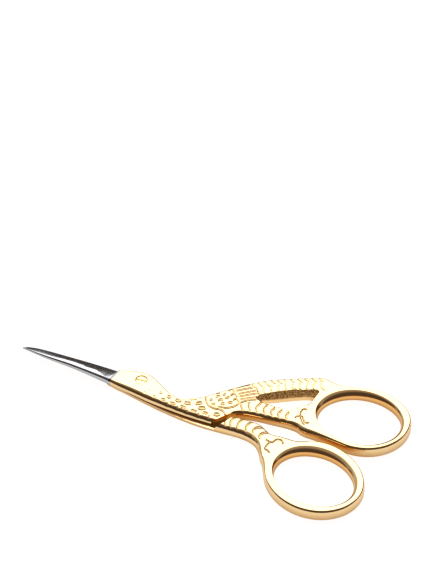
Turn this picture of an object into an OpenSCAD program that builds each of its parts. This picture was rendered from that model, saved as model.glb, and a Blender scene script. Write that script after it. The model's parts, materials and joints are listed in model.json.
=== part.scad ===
// Stork embroidery scissors, closed and lying flat on a table.
// Two forged halves cross at one slotted screw, which is the stork's eye. Each half is a flat
// blank with crowned edges: the blade is ground on it, the halves lap each other at half
// thickness from the tips to the breast, and each handle ends in an oval finger ring.
// +X runs from the tips to the rings, +Z is up and the table is at z = 0.

/* [Overall] */
// Length from the tips to the pivot
blade_length = 29.2; // [24:0.1:36]
// Length from the pivot to the near end of the rear finger hole
handle_length = 40.2; // [36:0.1:48]
// Thickness of the closed scissors at the handles
thickness = 3; // [2.4:0.1:4]
// How far in the crown on the edges of the body reaches
body_edge = 0.78; // [0.4:0.02:1]

/* [Finger rings] */
// Length of a finger hole
hole_length = 18.7; // [16:0.1:24]
// Width of a finger hole
hole_width = 15; // [12:0.1:19]
// Width of the rear rim at its far end
rear_rim_end = 2.4; // [1.8:0.05:3.2]
// Width of the rear rim on its near side
rear_rim_near = 1.9; // [1.6:0.05:3]
// Width of the rear rim on its far side
rear_rim_far = 2.15; // [1.6:0.05:3]
// Width of the front rim at its far end
front_rim_end = 2.4; // [1.8:0.05:3.2]
// Width of the front rim where the leg meets it
front_rim_back = 2.75; // [1.8:0.05:3.4]
// Width of the front rim on its near side
front_rim_near = 2.5; // [1.6:0.05:3.2]
// Width of the front rim on its far side
front_rim_far = 3; // [1.6:0.05:3.4]
// How far in the crown on the outside of a rim reaches
rim_edge = 0.85; // [0.4:0.05:0.9]
// Depth of the crown along the sides of a finger hole
hole_edge = 0.7; // [0.4:0.05:0.8]
// Depth of the crown at the two ends of a finger hole
hole_end_edge = 1.2; // [0.6:0.05:1.4]
// Gap between the two rings when the blades are shut
ring_gap = 0.4; // [0.2:0.05:2]

/* [Blades] */
// Thickness of one blade at its tip
tip_thickness = 0.32; // [0.3:0.02:0.6]
// Height of the square land left under the ground face at the cutting edge
land = 0.12; // [0.08:0.01:0.2]
// Depth of the hollow ground in the inner face of a blade
hollow = 0.06; // [0.03:0.01:0.1]

/* [Lap joint] */
// Clearance between the two lapped faces
lap_gap = 0.04; // [0.02:0.01:0.1]
// Clearance at the hidden stop that ends the closing stroke
stop_gap = 0.12; // [0.05:0.01:0.3]
// Clearance between the breast of the upper half and the foot of the lower half's shoulder
shoulder_gap = 0.8; // [0.5:0.05:1.5]

/* [Pivot screw] */
// Diameter of the screw's head, the stork's eye
screw_head_d = 2.7; // [2.2:0.1:3.4]
// Height of the screw's head
screw_head_h = 0.7; // [0.5:0.05:0.9]
// How far the head lies below the face of the upper half
head_sink = 0.12; // [0:0.02:0.3]
// Diameter of the screw's shank
screw_d = 1.8; // [1.4:0.1:2.2]
// Radial clearance of the shank in the upper half
bore_gap = 0.04; // [0.02:0.01:0.08]
// Radial clearance of the head in its seat
seat_gap = 0.07; // [0.03:0.01:0.1]
// Width of the screwdriver slot
slot_w = 0.4; // [0.3:0.05:0.6]
// Depth of the screwdriver slot
slot_depth = 0.35; // [0.2:0.05:0.5]

/* [Hidden] */
$fn = 48;

mid = thickness / 2;
blade_stretch = blade_length / 29.2;
handle_stretch = handle_length / 40.2;
far_out = 80;
proud = 0.3;
ring_step = 6;
curve_steps = 3;

// Outline points are [x, y, how far in the crown of the edge reaches], for the standard lengths
function edged(points, edge) = [for (p = points) [p.x, p.y, edge]];
function along(p) = [p.x * (p.x < 0 ? blade_stretch : handle_stretch), p.y, p.z];

// Smooth curve through chosen points
function curve_point(p, i, t) =
    let (a = p[max(i - 1, 0)], b = p[i], c = p[i + 1], d = p[min(i + 2, len(p) - 1)])
    b + t / 2 * (c - a) + t * t * (a - 2.5 * b + 2 * c - d / 2)
      + t * t * t * (1.5 * b - 1.5 * c + (d - a) / 2);
function curve(p) = [
    for (i = [0:len(p) - 2], k = [0:curve_steps - 1]) curve_point(p, i, k / curve_steps),
    p[len(p) - 1]
];
function smooth(points) = curve([for (p = points) along(p)]);

// Tilted ovals, each as [centre, half length, half width, tilt]: a point at an angle, an arc,
// and how far the oval reaches along X and Y
function oval_point(oval, angle) =
    let (u = oval[1] * cos(angle), v = oval[2] * sin(angle), tilt = oval[3])
    [oval[0].x + u * cos(tilt) - v * sin(tilt), oval[0].y + u * sin(tilt) + v * cos(tilt)];
function oval_arc(oval, from, to) = [
    for (i = [0:round(abs(to - from) / ring_step)])
        oval_point(oval, from + sign(to - from) * i * ring_step)
];
function reach_x(a, b, tilt) = norm([a * cos(tilt), b * sin(tilt)]);
function reach_y(a, b, tilt) = norm([a * sin(tilt), b * cos(tilt)]);

// Finger rings. The rims widen unevenly round the holes, so their centres lie a little off.
hole_a = hole_length / 2;
hole_b = hole_width / 2;
parting_y = -1.86;
rear_hole_tilt = 8.5;
rear_rim_tilt = 6.3;
rear_rim_back = 0.55;
rear_rim_a = hole_a + (rear_rim_end + rear_rim_back) / 2;
rear_rim_b = hole_b + (rear_rim_near + rear_rim_far) / 2;
rear_offset = [rear_rim_end - rear_rim_back, rear_rim_far - rear_rim_near] / 2;
rear_centre = [
    handle_length + reach_x(hole_a, hole_b, rear_hole_tilt),
    parting_y + ring_gap / 2 + reach_y(rear_rim_a, rear_rim_b, rear_rim_tilt) - rear_offset.y
];
rear_hole = [rear_centre, hole_a, hole_b, rear_hole_tilt];
rear_rim = [rear_centre + rear_offset, rear_rim_a, rear_rim_b, rear_rim_tilt];

front_hole_tilt = -12.7;
front_rim_tilt = -17;
front_setback = 2.87;
front_rim_a = hole_a + (front_rim_end + front_rim_back) / 2;
front_rim_b = hole_b + (front_rim_near + front_rim_far) / 2;
front_offset = [front_rim_end - front_rim_back, front_rim_far - front_rim_near] / 2;
front_centre = [
    handle_length - front_setback + reach_x(hole_a, hole_b, front_hole_tilt),
    parting_y - ring_gap / 2 - reach_y(front_rim_a, front_rim_b, front_rim_tilt) - front_offset.y
];
front_hole = [front_centre, hole_a, hole_b, front_hole_tilt];
front_rim = [front_centre + front_offset, front_rim_a, front_rim_b, front_rim_tilt];

// Outline of the shut blades: far side and near side, from the tips to the head
blade_far = [[-28.9, 0.45], [-27.8, 0.83], [-25.5, 1.18], [-22, 1.32], [-18, 1.42], [-13, 1.51],
    [-10, 1.51], [-6.6, 1.45]];
blade_near = [[-29.2, -0.1], [-27.2, -0.38], [-24.6, -0.7], [-22, -0.95], [-19.5, -1.13], [-17, -1.33],
    [-14.4, -1.62], [-11.7, -2], [-9.1, -2.4], [-6.4, -2.88]];
blade_edge = [[-29, 0.15], [-20, 0.3], [-10, 0.4], [-6.5, 0.5]];
function blade_rail(points) = [for (p = points) [p.x, p.y, lookup(p.x, blade_edge)]];
// Share of the blade's width that stays flat along its spine
flat_share = [[-29, 0.08], [-25, 0.1], [-22, 0.13], [-19.7, 0.2], [-17.2, 0.25], [-14.8, 0.3], [-12.2, 0.32],
    [-10.9, 0.3], [-9.6, 0.27], [-8.2, 0.2], [-7, 0.17]];

// Crown and nape of the head, on both halves
head_edge = body_edge * 0.85;
crown = [[-5.8, 1.36], [-4.05, 2], [-2.25, 2.47], [-0.46, 2.72], [0.6, 2.74]];
nape = [[1.4, 2.55], [2.72, 1.85], [4.17, 1], [5.68, 0.09], [7.11, -0.76], [8.6, -1.38], [9.7, -1.66]];
// Back, wing and tail of the stork, up to the rear ring
back = [[10.5, -1.62], [11.85, -0.88], [13.32, 0.04], [14.8, 1.02], [17.1, 3.25], [19.5, 5.58], [22.05, 7.88],
    [24.75, 10], [27.7, 11.92], [31.1, 13.62], [34.5, 15.27], [36.4, 16.15], [38.1, 16.48], [39.8, 16.12],
    [41.4, 15.9], [43, 15.93], [44.8, 16.12]];
// Throat and breast of the upper half
breast = [[-5, -3.18], [-3.1, -3.5], [-1.2, -3.8], [0.7, -4.14], [2.8, -4.52], [4.7, -4.8], [6.8, -5.06],
    [9.2, -5.3], [11.7, -5.52], [14.2, -5.65], [16.6, -5.63], [18.7, -5.43]];
// Leg of the upper half, near side, and its foot on the ring
rear_leg = [[22.9, -1.75], [23.8, -1.15], [25.2, -0.65], [28, -0.22], [30.6, -0.04], [32.6, 0.12],
    [34.4, 0.29], [36.1, 0.31]];
rear_foot = [[37.3, 0.12, 1.1], [38.4, -0.36, 1.2], [39.7, -0.6, 1.15], [41.4, -0.6, 1], [43, -0.75, 0.9],
    [45.2, -1.02, 0.82]];
// Edge of the lower half that the upper half hides
hidden_back = [[11.5, -1.95], [14, -2.15], [17, -2.45], [20, -2.7], [22, -2.62], [23.2, -2.4]];
// Leg of the lower half, far side
front_leg_far = [[24.5, -2.1], [26.5, -1.97], [28.5, -1.95], [29.8, -2.22], [30.8, -2.68], [31.7, -3.22],
    [32.5, -3.66], [33.5, -3.87], [35.2, -3.73], [37, -3.75], [38.8, -3.68], [40.5, -3.12]];
// Throat, belly and leg of the lower half, near side
belly = [[-5, -3.18], [-3.5, -3.45], [-0.5, -4.08], [2.8, -4.74], [6, -5.32], [9.2, -5.83], [12.4, -6.22],
    [15.7, -6.5], [19, -6.6], [22.3, -6.5], [25.4, -6.4], [27.3, -6.5], [28.9, -6.85], [30.35, -7.5],
    [31.4, -8.45]];
heel = [[32.2, -9.5], [33.1, -11.05], [34.1, -12.6]];
// Window between the tail and the leg of the upper half
window = [[27, 4.9, 0.8], [27.7, 4.5, 0.7], [29.5, 4.42, 0.6], [31.6, 4.42, 0.6], [33.3, 4.38, 0.6],
    [34.3, 4.5, 0.6], [34.9, 4.95, 0.6], [35.3, 5.75, 0.6], [35.9, 6.7, 0.6], [36.5, 7.25, 0.6],
    [37.1, 7.75, 0.6], [37.55, 8.8, 0.7], [37.75, 9.9, 0.9], [37.3, 10.5, 1.2], [36.2, 10.13, 1.3],
    [34.6, 9.4, 1.3], [32.8, 8.4, 1.3], [31.1, 7.4, 1.3], [29.4, 6.4, 1.25], [28, 5.7, 1.1]];

// Shoulder where the lower half steps up to its full thickness, and the breast that faces it
shoulder_slant = 0.55;
shoulder_rise = 1;
shoulder_foot = 20.6 * handle_stretch;
function shoulder_x(y) = shoulder_foot + shoulder_slant * (y + 5.7);
breast_end = [for (p = [[-5.35, 0.3], [-3.7, -0.3], [-2.05, -0.2]])
    [shoulder_x(p.x) - shoulder_gap, p.x, p.y]];

far_upper = concat(smooth(blade_rail(blade_far)), smooth(edged(crown, head_edge)),
    smooth(edged(nape, head_edge)), smooth(edged(back, body_edge)),
    edged(oval_arc(rear_rim, 108, 6), rim_edge));
near_upper = concat(smooth(blade_rail(blade_near)), smooth(edged(breast, body_edge)), breast_end,
    smooth(edged(rear_leg, body_edge)), smooth(rear_foot),
    edged(oval_arc(rear_rim, 252, 360), rim_edge));
far_lower = concat(smooth(blade_rail(blade_far)), smooth(edged(crown, head_edge)),
    smooth(edged(nape, head_edge)), smooth(edged(hidden_back, head_edge)),
    smooth(edged(front_leg_far, body_edge)), edged(oval_arc(front_rim, 126, 6), rim_edge));
near_lower = concat(smooth(blade_rail(blade_near)), smooth(edged(belly, body_edge)),
    smooth(edged(heel, rim_edge)), edged(oval_arc(front_rim, 210, 360), rim_edge));

// Half of the thickness at a place along the scissors, thinner from the head to the tips
half_heights = [[-29, tip_thickness], [-25, 0.42], [-22, 0.55], [-19.5, 0.66], [-14.5, 0.8], [-12, 0.92],
    [-6.6, 1.15], [0, 1.35], [6, 1.5]];
function half_height(x) =
    lookup(x / (x < 0 ? blade_stretch : handle_stretch), half_heights) * thickness / 3;

// Outward normal at a corner of a clockwise loop, lengthened so that the inset stays even
function left_of(a, b) = [a.y - b.y, b.x - a.x] / norm([b.x - a.x, b.y - a.y]);
function corner_normal(a, b, c) =
    let (sum = left_of(a, b) + left_of(b, c))
    sum / norm(sum) * min(1.4, 2 / norm(sum));
function normals(loop) = let (n = len(loop)) [
    for (i = [0:n - 1]) corner_normal(loop[(i + n - 1) % n], loop[i], loop[(i + 1) % n])
];

// Rail without points that repeat
function distinct(p) = [
    for (i = [0:len(p) - 1])
        if (i == 0 || norm([p[i].x - p[max(i - 1, 0)].x, p[i].y - p[max(i - 1, 0)].y]) > 0.02) p[i]
];

// Triangles across a flat face between two rails that run side by side
function rungs(far, near, n, i, j) =
    i == len(far) - 1 && j == len(near) - 1 ? [] :
    j == len(near) - 1 || (i < len(far) - 1 && far[i + 1].x < near[j + 1].x)
        ? concat([[i, i + 1, n - 1 - j]], rungs(far, near, n, i + 1, j))
        : concat([[i, n - 2 - j, n - 1 - j]], rungs(far, near, n, i, j + 1));

// Triangles between the rows of a stack of loops
function walls(n, rows) = [
    for (k = [0:rows - 2], i = [0:n - 1])
        let (a = k * n + i, b = k * n + (i + 1) % n)
        each [[a, b, b + n], [a, b + n, a + n]]
];
function flipped(faces) = [for (f = faces) [f[2], f[1], f[0]]];
function lifted(faces, by) = [for (f = faces) [f[0] + by, f[1] + by, f[2] + by]];

// Quarter of the oval crown on an edge, from the flat face down to mid height, in degrees, and
// the whole edge as [share of the inset, share of the half height] from the lower face up
crown_angles = [0, 15, 35, 60, 90];
crown_rows = concat(
    [for (t = crown_angles) [1 - sin(t), -cos(t)]],
    [for (k = [len(crown_angles) - 2:-1:0]) [1 - sin(crown_angles[k]), cos(crown_angles[k])]]
);

// Flat blank between two rails, with crowned edges
module blank(far_rail, near_rail) {
    far = distinct(far_rail);
    near = distinct(near_rail);
    loop = concat(far, [for (i = [len(near) - 1:-1:0]) near[i]]);
    out = normals(loop);
    n = len(loop);
    rows = len(crown_rows);
    caps = rungs(far, near, n, 0, 0);
    polyhedron(
        points = [
            for (row = crown_rows, i = [0:n - 1])
                let (p = loop[i], inset = p.z * row[0])
                [p.x - out[i].x * inset, p.y - out[i].y * inset, mid + row[1] * half_height(p.x)]
        ],
        faces = concat(walls(n, rows), flipped(caps), lifted(caps, n * (rows - 1)))
    );
}

// Cutter for an opening with crowned edges; the loop runs clockwise
module opening(loop) {
    out = normals(loop);
    n = len(loop);
    heights = concat(
        [[1.1, -mid - 1], [1.02, -mid - 0.02]],
        [for (k = [1:len(crown_rows) - 2]) [crown_rows[k][0], crown_rows[k][1] * mid]],
        [[1.02, mid + 0.02], [1.1, mid + 1]]
    );
    rows = len(heights);
    caps = [for (i = [1:n - 2]) [0, i, i + 1]];
    polyhedron(
        points = [
            for (h = heights, i = [0:n - 1])
                let (p = loop[i], flare = p.z * h[0])
                [p.x + out[i].x * flare, p.y + out[i].y * flare, mid + h[1]]
        ],
        faces = concat(walls(n, rows), flipped(caps), lifted(caps, n * (rows - 1)))
    );
}
module finger_hole(oval)
    opening([
        for (angle = [360:-ring_step:ring_step])
            let (p = oval_point(oval, angle))
            [p.x, p.y, hole_edge + (hole_end_edge - hole_edge) * pow(cos(angle), 2)]
    ]);
module tail_window() opening([for (i = [len(window) - 1:-1:0]) along(window[i])]);

// Cutter that grinds the outer face of a blade, from its ridge to its cutting edge.
// It rises out of the blade at the head in a short slanted shoulder.
grind_stations = [[-31, 0], [-29, 0], [-27, 0], [-25, 0], [-22, 0], [-19.7, 0], [-17.2, 0], [-14.8, 0],
    [-12.2, 0], [-9.6, 0], [-8.2, 0], [-6.8, 0], [-5.9, 1.1]];
shoulder_lean = 0.2;
module grind(spine, edge) {
    clear = 3;
    points = [
        for (s = grind_stations)
            let (
                x = s.x * blade_stretch,
                at = max(s.x, -29),
                y0 = lookup(at, spine),
                y1 = lookup(at, edge),
                side = sign(y1 - y0),
                ridge = y0 + (y1 - y0) * lookup(at, flat_share),
                top = mid + half_height(x) + s.y,
                low = mid + land + s.y,
                slope = (top - low) / abs(y1 - ridge)
            )
            each [
                for (q = [
                    [ridge - side * proud, top + proud * slope], [y1 + side, low - slope],
                    [y1 + side, top + clear], [ridge - side * proud, top + clear]
                ]) [x + shoulder_lean * q[0], q[0], q[1]]
            ]
    ];
    n = len(grind_stations);
    skin = [
        for (k = [0:n - 2], i = [0:3])
            let (a = 4 * k + i, b = 4 * k + (i + 1) % 4)
            each [[a, b, b + 4], [a, b + 4, a + 4]]
    ];
    ends = [[0, 2, 1], [0, 3, 2], [4 * n - 4, 4 * n - 3, 4 * n - 2], [4 * n - 4, 4 * n - 2, 4 * n - 1]];
    turned = spine[0].y < edge[0].y;
    polyhedron(points = points, faces = turned ? flipped(concat(skin, ends)) : concat(skin, ends));
}

// Cutter that hollows the inner face of the upper blade, between its spine and its edge
hollow_stations = [-27, -23, -19, -15, -11, -8];
hollow_share = 0.16;
module hollow_grind() {
    sunk = 0.2;
    face = mid + lap_gap / 2;
    points = [
        for (x = hollow_stations)
            let (
                y0 = lookup(x, blade_near),
                y1 = lookup(x, blade_far),
                width = y1 - y0,
                foot = width * hollow_share * (1 + sunk / hollow)
            )
            each [
                for (q = [
                    [y0 + width * 2 * hollow_share - foot, face - sunk], [(y0 + y1) / 2, face + hollow],
                    [y1 - width * 2 * hollow_share + foot, face - sunk]
                ]) [x * blade_stretch, q[0], q[1]]
            ]
    ];
    n = len(hollow_stations);
    skin = [
        for (k = [0:n - 2], i = [0:2])
            let (a = 3 * k + i, b = 3 * k + (i + 1) % 3)
            each [[a, b, b + 3], [a, b + 3, a + 3]]
    ];
    polyhedron(points = points, faces = flipped(concat(skin, [[0, 2, 1], [3 * n - 3, 3 * n - 2, 3 * n - 1]])));
}

// Mirror about the parting plane, for what the lower half has on its underside
module underside() translate([0, 0, thickness]) mirror([0, 0, 1]) children();

// Lap of the upper half: everything below the parting plane, up to the hidden stop
module upper_lap() {
    stop = [for (p = smooth(hidden_back)) if (p.x > 13 * handle_stretch) [p.x, p.y + stop_gap]];
    translate([0, 0, -1])
        linear_extrude(1 + mid + lap_gap / 2)
            polygon(concat(
                [[stop[len(stop) - 1].x, -far_out], [-far_out, -far_out], [-far_out, far_out],
                    [stop[0].x, far_out]],
                stop
            ));
}

// Lap of the lower half: everything above the parting plane, up to its sloping shoulder
module lower_lap() {
    floor_z = mid - lap_gap / 2;
    top_z = thickness + 1;
    lean = shoulder_rise * (top_z - floor_z) / (thickness - floor_z);
    translate([shoulder_x(0), 0, 0])
        rotate([0, 0, -atan(shoulder_slant)])
            rotate([90, 0, 0])
                linear_extrude(2 * far_out, center = true)
                    polygon([[-2 * far_out, floor_z], [0, floor_z], [lean, top_z], [-2 * far_out, top_z]]);
}

eye_top = mid + half_height(0) - head_sink;
seat_z = eye_top - screw_head_h;

module upper_half() {
    color("gold")
        difference() {
            blank(far_upper, near_upper);
            upper_lap();
            grind(blade_near, blade_far);
            hollow_grind();
            finger_hole(rear_hole);
            tail_window();
            translate([0, 0, -1]) cylinder(r = screw_d / 2 + bore_gap, h = thickness + 2);
            translate([0, 0, seat_z]) cylinder(r = screw_head_d / 2 + seat_gap, h = thickness);
        }
}

module lower_half() {
    color("goldenrod")
        difference() {
            blank(far_lower, near_lower);
            lower_lap();
            underside() grind(blade_far, blade_near);
            underside() hollow_grind();
            finger_hole(front_hole);
            translate([0, 0, -1]) cylinder(r = screw_d / 2, h = thickness + 2);
        }
}

// Slotted screw: a low cheese head seated in the upper half, and a shank fixed in the lower half
module pivot_screw() {
    foot = mid - half_height(0) + 0.05;
    color("darkgoldenrod")
        difference() {
            union() {
                translate([0, 0, foot]) cylinder(r = screw_d / 2, h = seat_z + 0.1 - foot);
                translate([0, 0, seat_z + lap_gap / 2])
                    cylinder(r = screw_head_d / 2, h = screw_head_h - lap_gap / 2);
            }
            rotate([0, 0, 4])
                translate([-far_out, -slot_w / 2, eye_top - slot_depth])
                    cube([2 * far_out, slot_w, thickness]);
        }
}

// The origin is under the middle of the shut scissors
x_low = -blade_length;
x_high = rear_rim[0].x + reach_x(rear_rim_a, rear_rim_b, rear_rim_tilt);
y_low = front_rim[0].y - reach_y(front_rim_a, front_rim_b, front_rim_tilt);
y_high = rear_rim[0].y + reach_y(rear_rim_a, rear_rim_b, rear_rim_tilt);
module placed() translate([-(x_low + x_high) / 2, -(y_low + y_high) / 2, 0]) children();

placed() upper_half();
placed() lower_half();
placed() pivot_screw();
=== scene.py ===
"""Stork embroidery scissors: looks, floor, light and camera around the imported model.

Plans are drawn in millimetres on the pivot's axis: x runs from the tips to the rings, y towards
the stork's back and z up from the table. row() turns them into metres in the row's own frame.
"""

import json
import math

import bmesh
import bpy
import numpy as np
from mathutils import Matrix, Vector
from mathutils.geometry import delaunay_2d_cdt
from mathutils.kdtree import KDTree

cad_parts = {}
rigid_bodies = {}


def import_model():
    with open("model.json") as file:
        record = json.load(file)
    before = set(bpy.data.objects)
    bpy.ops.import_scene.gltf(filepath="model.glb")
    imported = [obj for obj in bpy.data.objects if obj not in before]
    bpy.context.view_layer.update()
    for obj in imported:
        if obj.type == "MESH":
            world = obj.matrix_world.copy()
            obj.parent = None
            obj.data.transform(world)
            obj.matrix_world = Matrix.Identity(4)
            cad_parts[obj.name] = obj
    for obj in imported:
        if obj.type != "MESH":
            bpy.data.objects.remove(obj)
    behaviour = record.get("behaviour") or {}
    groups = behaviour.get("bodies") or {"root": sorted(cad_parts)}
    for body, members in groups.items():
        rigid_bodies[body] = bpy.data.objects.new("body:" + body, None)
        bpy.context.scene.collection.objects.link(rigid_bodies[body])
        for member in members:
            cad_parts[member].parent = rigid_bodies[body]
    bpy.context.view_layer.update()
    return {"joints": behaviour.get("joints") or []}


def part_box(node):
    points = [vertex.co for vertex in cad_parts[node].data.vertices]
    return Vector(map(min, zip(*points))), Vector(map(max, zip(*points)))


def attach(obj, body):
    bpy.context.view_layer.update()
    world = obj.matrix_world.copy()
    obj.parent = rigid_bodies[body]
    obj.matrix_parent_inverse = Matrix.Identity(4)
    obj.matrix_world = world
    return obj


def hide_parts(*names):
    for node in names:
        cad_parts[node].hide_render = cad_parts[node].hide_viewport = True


for leftover in list(bpy.data.objects):
    bpy.data.objects.remove(leftover)
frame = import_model()

MM = 0.001
PIVOT = Vector(frame["joints"][0]["pos_m"])
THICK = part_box("upper_half")[1].z / MM
MID = THICK / 2

# Outlines at mid height, as in the construction: (x, y, how far in the crown of the edge reaches)
BLADE_FAR = [(-28.9, 0.45, 0.06), (-27.8, 0.83, 0.14), (-25.5, 1.18, 0.2), (-22, 1.32, 0.25),
             (-18, 1.42, 0.3), (-13, 1.51, 0.35), (-10, 1.51, 0.4), (-6.9, 1.45, 0.5)]
BLADE_NEAR = [(-29.2, -0.1, 0.06), (-27.2, -0.38, 0.18), (-24.6, -0.7, 0.3), (-22, -0.95, 0.38),
              (-19.5, -1.13, 0.44), (-17, -1.33, 0.48), (-14.4, -1.62, 0.52), (-11.7, -2, 0.56),
              (-9.1, -2.4, 0.62), (-6.4, -2.88, 0.76)]
HEAD = [(-5.8, 1.36, 0.6), (-4.05, 2, 0.66), (-2.25, 2.47, 0.66), (-0.46, 2.72, 0.66),
        (0.6, 2.74, 0.66), (1.4, 2.55, 0.66), (2.72, 1.85, 0.66), (4.17, 1, 0.66),
        (5.68, 0.09, 0.66), (7.11, -0.76, 0.66), (8.6, -1.38, 0.66), (9.7, -1.66, 0.66)]
BACK = [(10.5, -1.62, 0.7), (11.85, -0.88, 0.75), (13.32, 0.04, 0.78), (14.8, 1.02, 0.78),
        (17.1, 3.25, 0.78), (19.5, 5.58, 0.78), (22.05, 7.88, 0.78), (24.75, 10, 0.78),
        (27.7, 11.92, 0.78), (31.1, 13.62, 0.78), (34.5, 15.27, 0.78), (36.4, 16.15, 0.78),
        (38.1, 16.48, 0.78), (39.8, 16.12, 0.78), (41.4, 15.9, 0.75), (43, 15.93, 0.6),
        (44.8, 16.12, 0.4)]
BREAST = [(-5, -3.18, 0.85), (-3.1, -3.5, 1), (-1.2, -3.8, 1.05), (0.7, -4.14, 1.05),
          (2.8, -4.52, 1.05), (4.7, -4.8, 1), (6.8, -5.06, 0.97), (9.2, -5.3, 0.95),
          (11.7, -5.52, 0.95), (14.2, -5.66, 0.95), (16.6, -5.68, 0.98), (18.6, -5.66, 1),
          (20.5, -5.6, 1), (22.2, -5.3, 0.95), (23.2, -4.4, 0.8), (23.3, -3.2, 0.7)]
LAP_END = [(23.4, -1.2), (22.55, -1.75), (21.75, -2.6), (20.9, -3.75), (20.1, -4.75),
           (19.1, -5.62), (18.2, -6.3)]
REAR_LEG = [(22.9, -1.75, 0.7), (23.8, -1.15, 0.75), (25.2, -0.65, 0.85), (28, -0.22, 0.98),
            (30.6, -0.04, 1.02), (32.6, 0.12, 1), (34.4, 0.29, 1), (36.1, 0.31, 1)]
REAR_FOOT = [(37.3, 0.12, 1.1), (38.4, -0.36, 1.2), (39.7, -0.6, 1.15), (41.4, -0.6, 1),
             (43, -0.68, 0.85), (45.2, -0.85, 0.7)]
HIDDEN_BACK = [(11.5, -1.95, 0.6), (14, -2.15, 0.6), (17, -2.45, 0.6), (20, -2.7, 0.6),
               (22, -2.62, 0.6), (23.2, -2.4, 0.65)]
FRONT_LEG_FAR = [(24.5, -2.1, 0.7), (26.5, -1.97, 0.78), (28.5, -1.95, 0.78), (29.8, -2.22, 0.78),
                 (30.8, -2.68, 0.78), (31.7, -3.22, 0.78), (32.5, -3.66, 0.78),
                 (33.5, -3.87, 0.78), (35.2, -3.73, 0.78), (37, -3.75, 0.78), (38.8, -3.68, 0.8),
                 (40.5, -3.12, 0.85)]
BELLY = [(-5, -3.18, 0.6), (-3.5, -3.45, 0.7), (-0.5, -4.08, 0.78), (2.8, -4.74, 0.78),
         (6, -5.32, 0.78), (9.2, -5.83, 0.78), (12.4, -6.22, 0.78), (15.7, -6.5, 0.8),
         (19, -6.6, 0.95), (22.3, -6.5, 1.05), (25.4, -6.4, 1.12), (27.3, -6.5, 1.2),
         (28.9, -6.85, 1.3), (30.35, -7.5, 1.25), (31.4, -8.45, 1)]
HEEL = [(32.2, -9.5, 0.75), (33.1, -11.05, 0.7), (34.22, -12.55, 0.75)]
# The window: x and y at mid height, x and y on the faces, to which its cast walls draw out
WINDOW = [(27, 4.9, 25.85, 4.6), (27.7, 4.5, 27.3, 3.85), (29.5, 4.42, 29.4, 3.6),
          (31.6, 4.42, 31.6, 3.62), (33.3, 4.38, 33.4, 3.65), (34.3, 4.5, 34.6, 3.85),
          (34.9, 4.95, 35.3, 4.6), (35.3, 5.75, 35.75, 5.6), (35.9, 6.7, 36.35, 6.35),
          (36.5, 7.25, 36.95, 6.7), (37.1, 7.75, 37.6, 7.1), (37.55, 8.8, 38, 8.5),
          (37.75, 9.9, 38.2, 10.2), (37.5, 10.4, 38.25, 12.15), (36.2, 10.13, 36.3, 11.75),
          (34.6, 9.4, 34.3, 10.85), (32.8, 8.4, 32.2, 9.85), (31.1, 7.4, 30.2, 8.75),
          (29.4, 6.4, 28.4, 7.5), (28, 5.7, 27, 6.5), (27.2, 5.25, 26.2, 5.65)]

# Ovals: centre x, centre y, half length, half width, tilt in degrees
REAR_HOLE = (49.51, 7.56, 9.35, 7.35, 8.5)
REAR_RIM = (50.44, 7.83, 10.83, 9.53, 6.3)
FRONT_HOLE = (46.6, -12.73, 9.35, 7.5, -12.7)
FRONT_RIM = (46.43, -12.48, 11.93, 10.25, -17)
# The same openings where they meet the faces, ground out towards one corner
REAR_MOUTH = (49.5, 7.97, 10.35, 8.22, -3)
FRONT_MOUTH = (46.72, -12.05, 10.4, 8.45, -18)
# Reach of the rings' outer crown by direction in degrees
RIM_EDGES = [(-180, 0.6), (-150, 0.55), (-120, 0.55), (-35, 0.55), (-5, 0.5), (30, 0.5),
             (84, 0.45), (108, 0.35), (130, 0.5), (180, 0.6)]
# How much smaller than the blank the rings are ground, by direction
RIM_GROUND = [(-138, 0.3), (-120, 0.42), (-30, 0.42), (-5, 0.3), (20, 0)]

# Half of the thickness along the scissors
HALF_HEIGHTS = [(-29, 0.34), (-25, 0.44), (-22, 0.55), (-19.5, 0.66), (-14.5, 0.8), (-12, 0.92),
                (-6.6, 1.15), (0, 1.35), (6, 1.5)]
# Ridge between the flat along the spine and the ground face, as a share of the blade's width
FLAT_SHARE = [(-29.3, 0.1), (-27, 0.18), (-24, 0.25), (-22, 0.34), (-20, 0.4), (-18.3, 0.44),
              (-16.4, 0.47), (-15.6, 0.43), (-14.4, 0.41), (-12.2, 0.4), (-10.6, 0.39),
              (-9.4, 0.33), (-8.3, 0.2), (-7, 0.15), (-5, 0.15)]

# Engraved hollows: centre x, centre y, half length, half width, tilt in degrees, depth
NECK_DIMPLES = [(2.17, -3.25, 0.36, 0.3, 0, 0.1), (4.67, -3.6, 0.5, 0.36, 0, 0.14),
                (6.92, -3.8, 0.64, 0.4, 0, 0.17), (9.27, -4.05, 0.78, 0.42, 0, 0.2),
                (11.87, -4.15, 0.78, 0.4, 0, 0.2), (14.57, -4.3, 0.8, 0.36, 8, 0.2),
                (17.17, -3.95, 0.8, 0.38, 8, 0.18), (2.82, -2, 0.3, 0.25, 0, 0.07),
                (5.57, -2.05, 0.4, 0.34, 0, 0.13), (7.82, -2.5, 0.56, 0.42, -5, 0.17),
                (10.12, -2.75, 0.74, 0.5, 5, 0.22), (12.37, -2.72, 0.78, 0.5, 12, 0.22),
                (13.07, -1.1, 0.8, 0.3, 28, 0.18), (14.72, -1.75, 0.84, 0.46, 36, 0.22),
                (15.87, -2.9, 0.9, 0.52, 18, 0.24), (19.67, -3.4, 0.78, 0.5, 18, 0.22)]
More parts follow.
